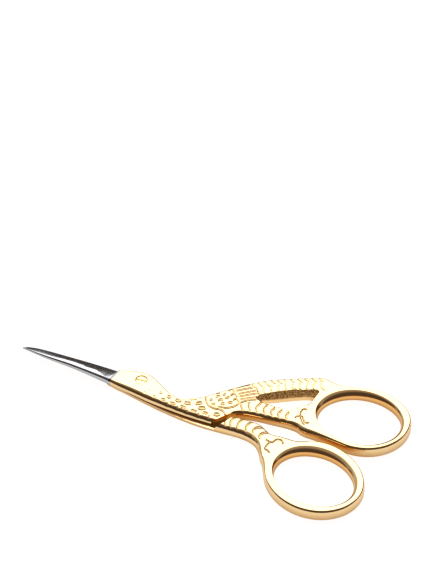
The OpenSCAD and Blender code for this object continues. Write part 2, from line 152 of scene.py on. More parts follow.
WING_DIMPLES = [(16.82, 0.2, 0.5, 0.27, 68, 0.16), (17.77, -0.7, 0.55, 0.3, 25, 0.16),
                (17.87, 1.8, 0.62, 0.3, 35, 0.16), (18.77, 1.05, 0.65, 0.36, 33, 0.18),
                (19.67, 0.15, 0.5, 0.45, 30, 0.18), (18.97, 2.9, 0.55, 0.24, 58, 0.15),
                (19.97, 2.3, 0.7, 0.27, 45, 0.16), (21.07, 1.15, 0.7, 0.3, 22, 0.17),
                (17.57, 2.7, 0.4, 0.24, 45, 0.14), (19.52, 4.55, 0.35, 0.24, 60, 0.14),
                (18.37, -1.2, 0.35, 0.2, 0, 0.1)]
NECK_NOTCHES = [
    [(8.2, -5.2), (8.2, -4.5)], [(10.75, -5.4), (10.75, -4.65)], [(13.2, -5.6), (13.2, -4.8)],
    [(15.9, -5.6), (15.9, -4.75)], [(18.4, -5.5), (18.3, -4.6)]]
WING_LINES = [
    [(15.32, 1.1), (15.37, 0.5), (15.77, -0.2), (16.37, -1), (17.17, -1.6), (18.47, -1.9),
     (19.77, -1.75), (20.77, -2), (21.37, -2.6)],
    [(19.17, -1.05), (20.17, -0.95), (21.17, -0.6), (22.17, 0.15), (22.67, 0.9), (23.17, 1.8),
     (23.97, 2.8), (24.97, 3.6), (25.97, 4.1)],
    [(19.87, 5.1), (20.47, 4.8), (20.77, 4.2), (20.37, 3.2)],
    [(21.07, 4), (21.67, 3.5), (21.87, 2.9), (21.47, 2.2)],
    [(22.17, 2.6), (22.77, 2.2), (22.87, 1.5)],
    [(23.47, 8.5), (23.97, 7.85), (24.77, 7.55), (25.27, 7), (25.67, 6.4), (26.37, 5.9)]]
WING_BARBS = [
    [(20.37, 5.65), (21.67, 6.75), (22.97, 7.8)],
    [(21.07, 5), (22.47, 6.1), (23.97, 7.2)],
    [(21.87, 4.3), (23.47, 5.5), (25.07, 6.7)],
    [(22.37, 3.65), (23.97, 4.85), (25.57, 6)],
    [(22.87, 2.9), (24.37, 3.9), (25.87, 4.85)]]
TAIL_STROKES = [
    [(23.17, 8.65), (23.87, 8.3), (24.67, 7.9)],
    [(24.17, 9.4), (24.87, 9), (26.07, 8.4)],
    [(25.37, 10.4), (25.97, 10), (26.77, 9.45), (27.57, 9.1)],
    [(26.67, 11.2), (27.37, 10.75), (28.07, 10.4)],
    [(27.87, 11.9), (28.57, 11.45), (29.47, 11)],
    [(29.17, 12.6), (29.77, 12.2), (30.27, 11.7)],
    [(30.47, 13.3), (31.17, 12.8), (31.87, 12.4)],
    [(31.97, 13.9), (32.67, 13.5), (33.57, 13.1)],
    [(33.37, 14.6), (34.07, 14.15), (35.07, 13.8)],
    [(34.87, 15.3), (35.67, 14.8), (36.57, 14.45)],
    [(36.57, 15.9), (37.17, 15.4), (37.77, 15)],
    [(26.37, 8.3), (26.57, 7.6), (27.07, 6.9)],
    [(27.77, 9.3), (27.97, 8.6), (28.17, 8.1)],
    [(29.27, 10), (29.37, 9.3), (29.77, 8.8)],
    [(30.37, 11.2), (30.77, 10.5), (31.07, 9.7)],
    [(32.07, 11.5), (32.12, 10.8), (32.47, 10.45), (33.07, 10.65)],
    [(33.37, 12.3), (33.57, 11.6), (33.87, 11.1)],
    [(34.87, 13.2), (35.12, 12.5), (35.17, 11.8)],
    [(36.37, 13.8), (36.37, 13), (36.67, 12.3)],
    [(37.67, 14.2), (38.17, 13.3), (39.07, 12.8)]]
REAR_RIBS = [
    [(23.67, 1.2), (24.17, 0.5), (24.77, -0.1), (24.97, -0.6)],
    [(25.07, 2.5), (25.27, 1.8), (25.77, 1.1), (26.07, 0.6)],
    [(27.57, 4.1), (27.22, 2.9), (27.07, 2), (27.32, 1.3), (27.87, 0.6)],
    [(28.97, 3.5), (28.77, 2.4), (28.92, 1.7), (29.37, 1.1), (29.67, 0.7)],
    [(30.87, 3.3), (30.57, 2.3), (30.77, 1.6), (31.37, 0.9)],
    [(32.57, 3.2), (32.27, 2.3), (32.42, 1.7), (32.97, 1)],
    [(34.27, 3.2), (34.07, 2.3), (34.27, 1.7), (34.87, 1.1)]]
FRONT_RIBS = [
    [(22.17, -4.7), (22.42, -5.1), (22.67, -5.6)],
    [(23.67, -2.7), (23.37, -3.6), (23.47, -4.6), (23.87, -5.5), (23.97, -5.9)],
    [(25.47, -2.6), (25.17, -3.6), (25.22, -4.6), (25.47, -5.5), (25.57, -5.9)],
    [(27.67, -2.4), (27.22, -3.4), (27.17, -4.5), (27.47, -5.3), (27.97, -6)],
    [(30.37, -3.1), (29.47, -3.6), (29.02, -4.4), (29.07, -5.2), (29.57, -6.2)],
    [(31.97, -4.1), (31.27, -4.7), (30.87, -5.4), (31.07, -6.3)]]
REAR_CLAW = [
    [(37.67, 5.65), (37.07, 5.5), (36.77, 5), (36.77, 4.3), (36.97, 3.5), (36.87, 3.1),
     (36.37, 2.85), (36.22, 2.4)],
    [(37.07, 3.4), (37.67, 3.2), (38.17, 2.5), (38.57, 2), (39.07, 1.8), (39.57, 2.1)],
    [(37.07, 3.2), (37.47, 2.6), (37.87, 2.1), (38.27, 1.6), (38.77, 1.3)]]
FRONT_CLAW = [
    [(32.77, -6.3), (33.37, -6.45), (34.17, -6.55), (34.47, -6), (34.77, -5.4), (35.37, -5.1),
     (36.07, -5.2), (36.57, -5.85)],
    [(33.67, -6.7), (33.47, -7.4), (33.37, -8.3), (33.57, -8.95), (34.17, -9.1), (34.77, -9.45)]]

# What is chased: strokes, depth, width, and how many times wider the groove is on its left side
UPPER_GROOVES = [
    (NECK_NOTCHES, 0.14, 0.25, 1), (WING_LINES, 0.12, 0.18, 1.3), (WING_BARBS, 0.1, 0.2, 1),
    (TAIL_STROKES, 0.1, 0.2, 1.6), (REAR_RIBS, 0.14, 0.2, 1.8), (REAR_CLAW, 0.11, 0.11, 1)]
LOWER_GROOVES = [
    (NECK_NOTCHES, 0.14, 0.25, 1), (FRONT_RIBS, 0.15, 0.21, 1.9), (FRONT_CLAW, 0.12, 0.13, 1)]
# Factors on the listed depth and size of the hollows
BOWL_DEPTH, BOWL_REACH = 0.72, 1.2
# How many widths a groove reaches, and how far its floor is rounded
GROOVE_REACH, GROOVE_SOFT = 3.2, 0.07

# Steps along outlines, and of the lattice where the level is below TOUCHED and elsewhere
LOOP_STEP, FINE, COARSE = 0.18, 0.12, 0.5
TOUCHED = -0.002
# Distance between the lattice's rows and its distance from the loops, as shares of its step
ROW_SHARE, LOOP_SHARE = 0.866, 0.55
# Points of a face closer than this are one
WELD = 1e-7

# Walls, by angle from the faces to mid height, and how full their crowns are along x
CROWN_ANGLES = np.radians([0, 7, 14, 22, 31, 41, 52, 63, 76, 90])
UPPER_FULLNESS, UPPER_BORE_FULLNESS = [(46, 2), (51, 3)], 2.2
LOWER_FULLNESS, LOWER_BORE_FULLNESS = [(33, 2), (37, 3)], 2.7
# The window's cast walls: where their draft starts, and the depth of their grit
DRAFT_FROM, GRIT = 0.47, 0.05
grit = np.random.default_rng(11)

# Grinding of the blades from its start to the foot and the top of the shoulder that it leaves
GRIND_FROM, TIP_X, FOOT_X, RISE_X = -31, -29, -6.8, -5.9
GRIND_STEPS, GRIND_LEAN, SHOULDER_RISE, PAST_RIDGE = 90, 0.24, 1.1, 0.3
# The land at the cutting edge: its height from the middle, and how it grows to that from the tip
LAND, LAND_FROM, LAND_RUN, LAND_LEAST = 0.12, -30, 7, 0.4

# The half-lap: its gap, the room at the hidden stop, and the slanted shoulder of the lower half.
# BEYOND is past everything in the plan.
LAP_GAP, STOP_GAP, STOP_FROM = 0.04, 0.12, 13
SHOULDER_AT, SHOULDER_LEAN, SHOULDER_Y = 20.6, 0.55, -5.7
BEYOND = 80

# The edge of the gold plate at the head: x at PLATE_Y, and x per y
PLATE_AT, PLATE_LEAN, PLATE_Y = -6.21, 0.266, -1.42

# The screw: shank and head radius, height of the head and how far it sinks, its holes and its slot
SHANK_R, HEAD_R, HEAD_H, HEAD_SINK = 0.9, 1.35, 0.7, 0.12
UPPER_BORE_R, SEAT_R = 0.94, 1.42
SLOT_WIDTH, SLOT_DEPTH, SLOT_TURN = 0.4, 0.35, 4

# Gold: two tones of the plate, then painted shade in the engraving, painted shade and warm
# reflection in the rings' bores, painted warm reflection on the lap's end wall, the lower part of
# the window's walls and two tones of the cast skin above it
PLATE_TONES = (0.96, 0.665, 0.335), (0.985, 0.695, 0.36)
ENGRAVING_SHADE, BORE_SHADE_AND_REFLECTION, LAP_WALL_REFLECTION = (0.94, 0.63, 0.3), (0.93, 0.53, 0.18), (1.0, 0.7, 0.26)
CAST, SKIN_TONES = (1.0, 0.68, 0.32), ((0.6, 0.3, 0.09), (1.0, 0.68, 0.28))
# Where the window and the lap's end wall are: x from and to, y from and to
WINDOW_BOX, LAP_WALL_BOX = (25.3, 38.8, 3.4, 12.6), (17.8, 23.2, -6.6, -1.4)
# Steel: two tones each of the ground faces and of the inner faces, the latter darkened as painted
# # shade where the blades meet, and the shoulder, darkened as painted shade
STEEL_TONES = (0.5, 0.515, 0.54), (0.61, 0.625, 0.65)
INNER_SHADE_TONES = (0.2, 0.205, 0.215), (0.36, 0.365, 0.38)
SHOULDER_SHADE = (0.2, 0.2, 0.207)

# Light: strength of the soft window, the wing beside it, the ceiling and the dark around them
WINDOW_LIGHT, WING_LIGHT, CEILING_LIGHT, DARK_LIGHT = 2.5, 0.45, 0.28, 0.07
DARK_TONE, WHITE = (1.0, 0.76, 0.57), (1.0, 1.0, 1.0)

# Camera: where it stands, where it looks, and its focal length and sensor
VIEW_FROM = (282.077, -639.783, 750.738)
VIEW_ALONG = Vector((-0.265692, 0.644552, -0.716911))
LENS, SENSOR = 283.5, 36

# Floor: its half width and height in metres, its glow as seen and as mirrored, the tone of the
# # painted shade and warm reflection that the metal sees in its nooks, and the middle of the
# # stork's window above it, near which that painted shade is left out
FLOOR_HALF, FLOOR_Z = 3.0, -2e-5
FLOOR_SEEN, FLOOR_MIRRORED, NOOK_SHADE_TONE = 0.92, 0.72, (0.5, 0.32, 0.14)
WINDOW_MIDDLE = (31.5, 7, 0)


def row(points):
    """Millimetres on the pivot's axis to metres in the row's frame."""
    p = np.asarray(points, float) * MM
    return p + np.array([PIVOT.x, PIVOT.y, 0])


def table(pairs):
    """Lookup with straight lines between listed pairs."""
    xs, ys = np.array(pairs, float).T
    return lambda x: np.interp(x, xs, ys)


half_height = table(HALF_HEIGHTS)
flat_share = table(FLAT_SHARE)


def smooth_path(points, closed=False, step=LOOP_STEP):
    """Catmull-Rom curve through points of any dimension, at even steps along its first two."""
    p = np.array(points, float)
    n = len(p)
    pieces = []
    for i in range(n if closed else n - 1):
        if closed:
            a, b, c, d = p[i - 1], p[i], p[(i + 1) % n], p[(i + 2) % n]
        else:
            a, b, c, d = p[max(i - 1, 0)], p[i], p[i + 1], p[min(i + 2, n - 1)]
        t = np.linspace(0, 1, 16, endpoint=False)[:, None]
        pieces.append(b + t / 2 * (c - a) + t * t * (a - 2.5 * b + 2 * c - d / 2)
                      + t ** 3 * (1.5 * b - 1.5 * c + (d - a) / 2))
    pieces.append(p[:1] if closed else p[-1:])
    dense = np.concatenate(pieces)
    along = np.concatenate([[0], np.cumsum(np.linalg.norm(np.diff(dense[:, :2], axis=0), axis=1))])
    count = max(3, round(along[-1] / step))
    at = np.linspace(0, along[-1], count + 1)
    if closed:
        at = at[:-1]
    return np.stack([np.interp(at, along, dense[:, k]) for k in range(dense.shape[1])], 1)


def along_rail(points):
    """y of a rail as a smooth function of x."""
    path = smooth_path(points, step=0.1)
    order = np.argsort(path[:, 0])
    return lambda x: np.interp(x, path[order, 0], path[order, 1])


def oval(shape, angles, edge):
    """Points of a tilted oval, with the reach of the crown as third number."""
    cx, cy, a, b, tilt = shape
    angles, tilt = np.radians(angles), math.radians(tilt)
    u, v = a * np.cos(angles), b * np.sin(angles)
    return np.stack([cx + u * math.cos(tilt) - v * math.sin(tilt),
                     cy + u * math.sin(tilt) + v * math.cos(tilt),
                     np.broadcast_to(edge, angles.shape)], 1)


def rim(shape, first, last, step=12):
    """Points of a ring's outline with its crown, clockwise between two directions."""
    angles = np.arange(first, last - 1, -step)
    ground = table(RIM_GROUND)(angles)
    cx, cy, a, b, tilt = shape
    smaller = (cx, cy, a - ground, b - ground, tilt)
    return [tuple(q) for q in oval(smaller, angles, table(RIM_EDGES)(angles))]


def hole_loop(shape, mouth):
    """Finger hole, clockwise, at mid height and on the faces."""
    count = round(2 * math.pi * shape[2] / LOOP_STEP)
    angles = np.arange(count) * -360 / count
    outer = oval(mouth, angles + shape[4] - mouth[4], 0)
    return np.column_stack([oval(shape, angles, 0)[:, :2], outer[:, :2]])


def outward(loop):
    """Left-hand normals of a closed loop, which point out of a clockwise one."""
    ahead = np.roll(loop[:, :2], -1, 0) - np.roll(loop[:, :2], 1, 0)
    n = np.stack([-ahead[:, 1], ahead[:, 0]], 1)
    return n / np.linalg.norm(n, axis=1, keepdims=True)


def inside(points, loop):
    """True for each point inside a closed loop."""
    x, y = points[:, 0], points[:, 1]
    result = np.zeros(len(points), bool)
    for (x0, y0), (x1, y1) in zip(loop, np.roll(loop, -1, 0)):
        crosses = (y0 > y) != (y1 > y)
        if crosses.any():
            result ^= crosses & (x < (x1 - x0) * (y - y0) / (y1 - y0 + 1e-30) + x0)
    return result


def away(points, loops):
    """Distance from each point to the nearest loop vertex."""
    corners = np.concatenate(loops)
    tree = KDTree(len(corners))
    for i, c in enumerate(corners):
        tree.insert((c[0], c[1], 0), i)
    tree.balance()
    return np.array([tree.find((p[0], p[1], 0))[2] for p in points])


def lattice(loops, fine_area):
    """Triangular grid inside the first loop and outside the others, finer where the relief is."""
    outer = loops[0]
    low, high = outer.min(0), outer.max(0)
    found = []
    for step, wanted in ((FINE, True), (COARSE, False)):
        xs = np.arange(low[0], high[0], step)
        ys = np.arange(low[1], high[1], step * ROW_SHARE)
        gx, gy = np.meshgrid(xs, ys)
        gx[1::2] += step / 2
        p = np.stack([gx.ravel(), gy.ravel()], 1)
        p = p[fine_area(p) == wanted]
        p = p[inside(p, outer)]
        for hole in loops[1:]:
            p = p[~inside(p, hole)]
        found.append(p[away(p, loops) > step * LOOP_SHARE])
    return np.concatenate(found)


def near(p, corners, margin):
    """Indices of the points within a margin of a path's box."""
    c = np.array(corners, float)[:, :2]
    hit = np.all((p > c.min(0) - margin) & (p < c.max(0) + margin), axis=1)
    return np.nonzero(hit)[0]


def hollow(p, level, shapes):
    """Presses oval bowls into the level."""
    for cx, cy, a, b, tilt, depth in shapes:
        at = near(p, [(cx, cy)], max(a, b) * 1.5)
        c, s = math.cos(math.radians(tilt)), math.sin(math.radians(tilt))
        x, y = p[at, 0] - cx, p[at, 1] - cy
        r = np.hypot((x * c + y * s) / a, (y * c - x * s) / b) / BOWL_REACH
        level[at] = np.minimum(level[at], -depth * BOWL_DEPTH * np.clip(1 - r ** 2, 0, None))


def groove(p, level, stroke, depth, width, left):
    """Chases a stroke into the level: steep beside the line, then easing out."""
    path = smooth_path(stroke, step=0.15)
    at = near(p, path, width * GROOVE_REACH * left)
    if not len(at):
        return
    q = p[at][:, None, :]
    a, b = path[:-1][None], path[1:][None]
    along = np.clip(((q - a) * (b - a)).sum(2) / ((b - a) ** 2).sum(2), 0, 1)
    gap = q - a - along[..., None] * (b - a)
    distance = np.linalg.norm(gap, axis=2)
    nearest = distance.argmin(1)
    rows = np.arange(len(at))
    d, off = distance[rows, nearest], gap[rows, nearest]
    ahead = (b - a)[0][nearest]
    turn = (ahead[:, 0] * off[:, 1] - ahead[:, 1] * off[:, 0]) / np.linalg.norm(ahead, axis=1)
    wide = width * (1 + (left - 1) * np.clip(turn / (d + 1e-9), 0, 1))
    fall = np.exp(-(np.hypot(d, GROOVE_SOFT) - GROOVE_SOFT) / wide)
    edge = math.exp(-GROOVE_REACH)
    level[at] = np.minimum(level[at], -depth * np.clip(fall - edge, 0, None) / (1 - edge))


def relief_of(dimples, grooves):
    """Function that gives the relief's level, zero or below, at points of the plan."""
    def relief(p):
        level = np.zeros(len(p))
        hollow(p, level, dimples)
        for strokes, depth, width, left in grooves:
            for stroke in strokes:
                groove(p, level, stroke, depth, width, left)
        return level
    return relief


def new_mesh(name, points, faces):
    """Object in the row's frame from points in millimetres on the pivot's axis."""
    mesh = bpy.data.meshes.new(name)
    mesh.from_pydata(row(points).tolist(), [], faces)
    mesh.validate()
    solid = bmesh.new()
    solid.from_mesh(mesh)
    if solid.calc_volume(signed=True) < 0:
        bmesh.ops.reverse_faces(solid, faces=solid.faces)
        solid.to_mesh(mesh)
    solid.free()
    return add_object(name, mesh)


def add_object(name, data):
    """Object with the data, in the scene."""
    ob = bpy.data.objects.new(name, data)
    bpy.context.scene.collection.objects.link(ob)
    return ob


def prism(name, plan, low, high):
    """Upright prism over a plan."""
    n = len(plan)
    points = [(x, y, z) for z in (low, high) for x, y in plan]
    sides = [[i, (i + 1) % n, n + (i + 1) % n, n + i] for i in range(n)]
    return new_mesh(name, points, sides + [list(range(n))[::-1], list(range(n, 2 * n))])


def ruled(name, rings):
    """Closed tube through rings of points."""
    n, m = len(rings), len(rings[0])
    faces = []
    for k in range(n - 1):
        for i in range(m):
            a, b = k * m + i, k * m + (i + 1) % m
            faces.append([a, b, b + m, a + m])
    faces += [list(range(m))[::-1], list(range((n - 1) * m, n * m))]
    return new_mesh(name, np.array(rings).reshape(-1, 3), faces)


def circle(radius, sides):
    """Corners of a regular polygon on the pivot's axis."""
    a = np.arange(sides) * 2 * math.pi / sides
    return [(radius * math.cos(t), radius * math.sin(t)) for t in a]


def lathe(name, profile, sides=72):
    """Turned piece on the pivot's axis from (radius, height) pairs."""
    return ruled(name, [[(x, y, z) for x, y in circle(r, sides)] for r, z in profile])


def cap(loops, ids, start, side, relief):
    """Face of a slab: new points of its lattice, and triangles over them and the loops."""
    edges, first = [], 0
    for loop in loops:
        k = np.arange(len(loop))
        edges.extend(np.stack([first + k, first + (k + 1) % len(loop)], 1).tolist())
        first += len(loop)
    grid = lattice(loops, lambda p: relief(p) < TOUCHED)
    flat = np.concatenate(loops + [grid])
    points, _, tri, origin = delaunay_2d_cdt([Vector(p) for p in flat], edges, [], 1, WELD)[:4]
    points, tri = np.array([tuple(p) for p in points]), np.array(tri)
    keep = np.ones(len(tri), bool)
    for hole in loops[1:]:
        keep &= ~inside(points[tri].mean(1), hole)
    tri = tri[keep]
    a, b, c = points[tri[:, 0]], points[tri[:, 1]], points[tri[:, 2]]
    turn = (b[:, 0] - a[:, 0]) * (c[:, 1] - a[:, 1]) - (b[:, 1] - a[:, 1]) * (c[:, 0] - a[:, 0])
    tri[turn * side < 0] = tri[turn * side < 0][:, ::-1]
    number = np.concatenate([ids, start + np.arange(len(grid))])[[o[0] for o in origin]]
    return grid, number[tri].tolist()


def slab(name, outer, fullness, holes, bore_fullness, relief):
    """Closed mesh of a flat blank with crowned edges, openings and relief on both faces.

    holes are pairs of a loop and whether its walls are cast, with draft and grit.
    """
    def hole_wall(loop, is_cast, t):
        """Plan of an opening's wall at an angle from the faces to mid height."""
        if not is_cast:
            share = 1 - math.sqrt(1 - math.cos(t) ** bore_fullness)
            return loop[:, :2] + (loop[:, 2:] - loop[:, :2]) * share
        share = min(max((math.cos(t) - DRAFT_FROM) / (1 - DRAFT_FROM), 0), 1)
        rough = grit.normal(0, GRIT, len(loop)) * (0.5 if share in (0, 1) else 1)
        p = loop[:, :2] + (loop[:, 2:] - loop[:, :2]) * share
        return p + outward(loop) * rough[:, None]

    def edge_wall(loop, t):
        """Plan of the outer edge at such an angle."""
        full = 1 - np.sqrt(1 - math.cos(t) ** table(fullness)(loop[:, 0]))
        return loop[:, :2] - outward(loop) * (loop[:, 2] * full)[:, None]

    verts, faces, cuts = [], [], []
    caps = {-1: [], 1: []}
    angles = [(t, -1) for t in CROWN_ANGLES] + [(t, 1) for t in CROWN_ANGLES[-2::-1]]
    for loop, is_cast in [(outer, None)] + holes:
        n = len(loop)
        is_hole = loop is not outer
        start = sum(len(v) for v in verts)
        for t, side in angles:
            p = hole_wall(loop, is_cast, t) if is_hole else edge_wall(loop, t)
            level = relief(p) * math.cos(t)
            z = MID + side * (half_height(loop[:, 0]) + level) * math.cos(t)
            verts.append(np.column_stack([p, z]))
            cuts.append(-level)
        for k in range(len(angles) - 1):
            a = start + k * n + np.arange(n)
            b = start + k * n + (np.arange(n) + 1) % n
            quad = np.stack([a, b, b + n, a + n], 1)
            faces.extend((quad if is_hole else quad[:, ::-1]).tolist())
        caps[-1].append((verts[-len(angles)][:, :2], start + np.arange(n)))
        caps[1].append((verts[-1][:, :2], start + (len(angles) - 1) * n + np.arange(n)))
    for side in (-1, 1):
        loops = [c[0] for c in caps[side]]
        ids = np.concatenate([c[1] for c in caps[side]])
        grid, triangles = cap(loops, ids, sum(len(v) for v in verts), side, relief)
        z = MID + side * (half_height(grid[:, 0]) + relief(grid))
        verts.append(np.column_stack([grid, z]))
        cuts.append(-relief(grid))
        faces.extend(triangles)
    ob = new_mesh(name, np.concatenate(verts), faces)
    engraved = ob.data.attributes.new("engraved", "FLOAT", "POINT")
    engraved.data.foreach_set("value", np.concatenate(cuts))
    return ob


def cut(ob, tool, operation="DIFFERENCE"):
    """Applies a boolean to ob and removes the tool."""
    mod = ob.modifiers.new("cut", "BOOLEAN")
    mod.operation = operation
    mod.solver = "MANIFOLD"
    mod.object = tool
    bpy.context.view_layer.objects.active = ob
    bpy.ops.object.modifier_apply(modifier=mod.name)
    bpy.data.objects.remove(tool)


def grind_tool(spine, edge, below):
    """Wedge that grinds the outer face of a blade, and rises out at the head in a shoulder."""
    rings = []
    for x in np.concatenate([np.linspace(GRIND_FROM, FOOT_X, GRIND_STEPS), [RISE_X]]):
        at = max(x, TIP_X)
        y0, y1 = float(spine(at)), float(edge(at))
        side = 1 if y1 > y0 else -1
        ridge = y0 + (y1 - y0) * float(flat_share(at))
        rise = SHOULDER_RISE if x == RISE_X else 0
        top = half_height(x) + rise
        low = LAND * min(max((x - LAND_FROM) / LAND_RUN, LAND_LEAST), 1) + rise
        slope = (top - low) / abs(y1 - ridge)
        back = ridge - side * PAST_RIDGE
        wedge = ((back, top + PAST_RIDGE * slope), (y1 + side, low - slope),
                 (y1 + side, top + THICK), (back, top + THICK))
        rings.append([(x + GRIND_LEAN * y, y, MID + (-z if below else z)) for y, z in wedge])
    return ruled("grind", rings)


def lap_tool_upper():
    """Removes the upper half's lower side as far as the hidden stop."""
    stop = smooth_path([(x, y + STOP_GAP, 0) for x, y, _ in HIDDEN_BACK])[:, :2]
    stop = stop[stop[:, 0] > STOP_FROM]
    plan = [(stop[-1][0], -BEYOND), (-BEYOND, -BEYOND), (-BEYOND, BEYOND), (stop[0][0], BEYOND)]
    return prism("lap", (plan + [tuple(q) for q in stop])[::-1], -1, MID + LAP_GAP / 2)


def lap_end_tool():
    """Removes the blank beyond the wall where the upper half ends at the lap."""
    wall = smooth_path([(x, y, 0) for x, y in LAP_END])[:, :2]
    plan = [tuple(q) for q in wall] + [(24, -9), (24, -4)]
    return prism("lap_end", plan[::-1], -1, THICK + 1)


def lap_tool_lower():
    """Removes the lower half's upper side as far as its slanted shoulder."""
    floor_z, top_z = MID - LAP_GAP / 2, THICK + 1
    lean = (top_z - floor_z) / (THICK - floor_z)
    rings = []
    for y in (-BEYOND, BEYOND):
        x = SHOULDER_AT + SHOULDER_LEAN * (y - SHOULDER_Y)
        rings.append([(-2 * BEYOND, y, floor_z), (x, y, floor_z),
                      (x + lean, y, top_z), (-2 * BEYOND, y, top_z)])
    return ruled("lap", rings)


def bore_tool(radius, low=-1):
    """Round tool from a height to above the blank."""
    return prism("bore", circle(radius, 96), low, THICK + 1)


def plating_line(y):
    """Where the gold plate ends at the head."""
    return PLATE_AT + PLATE_LEAN * (y - PLATE_Y)


def blade_block():
    """Block over everything that is bare steel."""
    plan = [(plating_line(-9), -9), (plating_line(9), 9), (-40, 9), (-40, -9)]
    return prism("block", plan, -1, THICK + 1)


def slot_tool(top):
    """Block that cuts the screw's slot."""
    c, s = math.cos(math.radians(SLOT_TURN)), math.sin(math.radians(SLOT_TURN))
    half = SLOT_WIDTH / 2
    corners = ((-2, -half), (2, -half), (2, half), (-2, half))
    plan = [(x * c - y * s, x * s + y * c) for x, y in corners]
    return prism("slot", plan, top - SLOT_DEPTH, top + 1)


def turned_screw():
    """The pivot screw with its slot, between the heights of its CAD box."""
    low, high = (v.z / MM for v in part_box("pivot_screw"))
    seat = high - HEAD_H
    screw = lathe("pivot_screw_turned", [
        (0.6, low), (0.8, low), (0.87, low + 0.05), (SHANK_R, low + 0.14), (SHANK_R, seat),
        (1.3, seat), (HEAD_R, seat + 0.04), (HEAD_R, high - 0.1),
        (1.33, high - 0.05), (1.28, high - 0.02), (1.15, high), (0.05, high + 0.02)])
    cut(screw, slot_tool(high))
    return screw


def finish_shading(ob, material, sharp=24):
    """Smooth shading with sharp edges beyond an angle in degrees, and one material."""
    ob.data.shade_smooth()
    ob.data.set_sharp_from_angle(angle=math.radians(sharp))
    ob.data.materials.clear()
    ob.data.materials.append(material)


class Nodes:
    """Short way to write a node tree: each call adds nodes and returns their output."""

    def __init__(self, tree):
        self.tree = tree

    def add(self, kind, **settings):
        node = self.tree.nodes.new(kind)
        for key, value in settings.items():
            setattr(node, key, value)
        return node

    def feed(self, socket, value):
        if isinstance(value, bpy.types.NodeSocket):
            self.tree.links.new(value, socket)
        else:
            socket.default_value = value

    def math(self, operation, *values):
        node = self.add("ShaderNodeMath", operation=operation)
        for socket, value in zip(node.inputs, values):
            self.feed(socket, value)
        return node.outputs[0]

    def times(self, first, *others):
        """Product of two or more values."""
        for other in others:
            first = self.math("MULTIPLY", first, other)
        return first

    def plus(self, first, *others):
        """Sum of two or more values."""
        for other in others:
            first = self.math("ADD", first, other)
        return first

    def ramp(self, value, low, high):
        """0 at low to 1 at high, eased; low may be the greater."""
        node = self.add("ShaderNodeMapRange", interpolation_type="SMOOTHSTEP")
        for socket, v in zip(node.inputs, (value, low, high)):
            self.feed(socket, v)
        return node.outputs[0]

    def between(self, value, low, high, soft):
        """1 from low to high, with soft borders."""
        return self.times(self.ramp(value, low - soft, low + soft),
                          self.ramp(value, high + soft, high - soft))

    def blend(self, factor, a, b):
        """Colour a where the factor is 0 and b where it is 1."""
        node = self.add("ShaderNodeMix", data_type="RGBA")
        self.feed(node.inputs[0], factor)
        for socket, colour in zip(node.inputs[6:8], (a, b)):
            self.feed(socket, (*colour, 1) if isinstance(colour, tuple) else colour)
        return node.outputs[2]

    def noise(self, vector, scale, detail):
        node = self.add("ShaderNodeTexNoise")
        self.feed(node.inputs["Vector"], vector)
        self.feed(node.inputs["Scale"], scale)
        self.feed(node.inputs["Detail"], detail)
        return node.outputs[0]

    def stretched(self, vector, scale):
        node = self.add("ShaderNodeMapping")
        self.feed(node.inputs["Vector"], vector)
        self.feed(node.inputs["Scale"], scale)
        return node.outputs[0]

    def bump(self, height, distance):
        node = self.add("ShaderNodeBump")
        self.feed(node.inputs["Height"], height)
        self.feed(node.inputs["Distance"], distance)
        self.feed(node.inputs["Strength"], 1)
        return node.outputs[0]

    def vector_math(self, operation, a, b):
        """A vector for SUBTRACT, otherwise a number."""
        node = self.add("ShaderNodeVectorMath", operation=operation)
        self.feed(node.inputs[0], a)
        self.feed(node.inputs[1], b)
        return node.outputs["Vector" if operation == "SUBTRACT" else "Value"]

    def split(self, vector):
        """x, y and z of a vector."""
        node = self.add("ShaderNodeSeparateXYZ")
        self.feed(node.inputs[0], vector)
        return node.outputs

    def surface(self):
        """Object coordinates, their parts, and the upright share: 0 on walls to 1 on flats."""
        place = self.add("ShaderNodeTexCoord").outputs["Object"]
        normal = self.add("ShaderNodeNewGeometry").outputs["True Normal"]
        return place, self.split(place), self.math("ABSOLUTE", self.split(normal)[2])

    def in_box(self, x, y, x0, x1, y0, y1):
        """1 over a box of the plan in millimetres on the pivot's axis."""
        return self.times(self.between(x, PIVOT.x + x0 * MM, PIVOT.x + x1 * MM, 0.1 * MM),
                          self.between(y, PIVOT.y + y0 * MM, PIVOT.y + y1 * MM, 0.1 * MM))

    def in_oval(self, place, shape, wider):
        """1 within a finger hole widened a little."""
        cx, cy, a, b, tilt = shape
        moved = self.vector_math("SUBTRACT", place, tuple(row([(cx, cy, 0)])[0]))
        c, s = math.cos(math.radians(tilt)), math.sin(math.radians(tilt))
        a, b = (a + wider) * MM, (b + wider) * MM
        u = self.vector_math("DOT_PRODUCT", moved, (c / a, s / a, 0))
        v = self.vector_math("DOT_PRODUCT", moved, (-s / b, c / b, 0))
        return self.ramp(self.plus(self.times(u, u), self.times(v, v)), 1.03, 0.97)


def metal(name):
    """Metal material, its nodes and the inputs of its shader."""
    material = bpy.data.materials.new(name)
    material.use_nodes = True
    shader = material.node_tree.nodes["Principled BSDF"]
    shader.inputs["Metallic"].default_value = 1
    return material, Nodes(material.node_tree), shader.inputs


